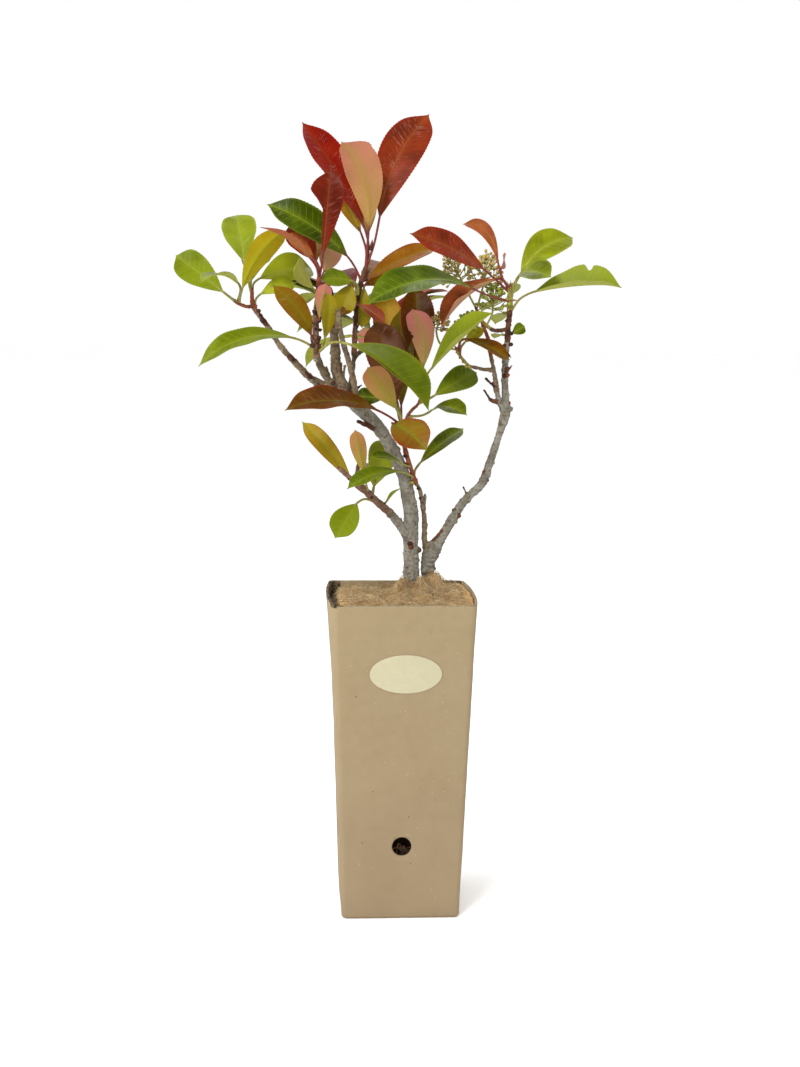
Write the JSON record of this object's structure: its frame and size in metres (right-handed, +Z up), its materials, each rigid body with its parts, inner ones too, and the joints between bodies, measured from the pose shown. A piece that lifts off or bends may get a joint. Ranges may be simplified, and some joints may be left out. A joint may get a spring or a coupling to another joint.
{
  "type": "potted young photinia",
  "caption": "Young photinia with red new leaves and green older ones, several bare boughs and small flower heads, planted in a tall tapered square cardboard pot with a blank oval label.",
  "frame": {"origin": "middle of the pot's flat underside", "axes": "+Z up out of the pot, -Y towards the viewer on the label's side, +X to the right of the label"},
  "size_m": [0.4114, 0.2367, 0.7422],
  "materials": {
    "cardboard": "matte",
    "label_paper": "matte",
    "coir": "matte",
    "bark": "matte",
    "red_leaf": "satin",
    "green_leaf": "satin"
  },
  "bodies": {
    "root": {"pot": "cardboard", "label": "label_paper", "root_ball": "coir", "trunk": "bark", "side_trunk": "bark", "upright_bough": "bark", "far_left_bough": "bark", "left_bough": "bark", "leader": "bark", "grey_stem": "bark", "left_low_bough": "bark", "centre_shoot": "bark", "right_bough": "bark", "upper_right_bough": "bark", "right_side_branch": "bark", "right_twig": "bark", "back_bough": "bark", "crown_tuft": "red_leaf", "left_tuft": "red_leaf", "far_left_tuft": "green_leaf", "centre_tuft": "green_leaf", "left_low_tuft": "green_leaf", "right_tuft": "green_leaf", "bloom_tuft": "green_leaf", "inner_tuft": "green_leaf", "back_tuft": "green_leaf", "back_left_tuft": "green_leaf"}
  },
  "joints": []
}
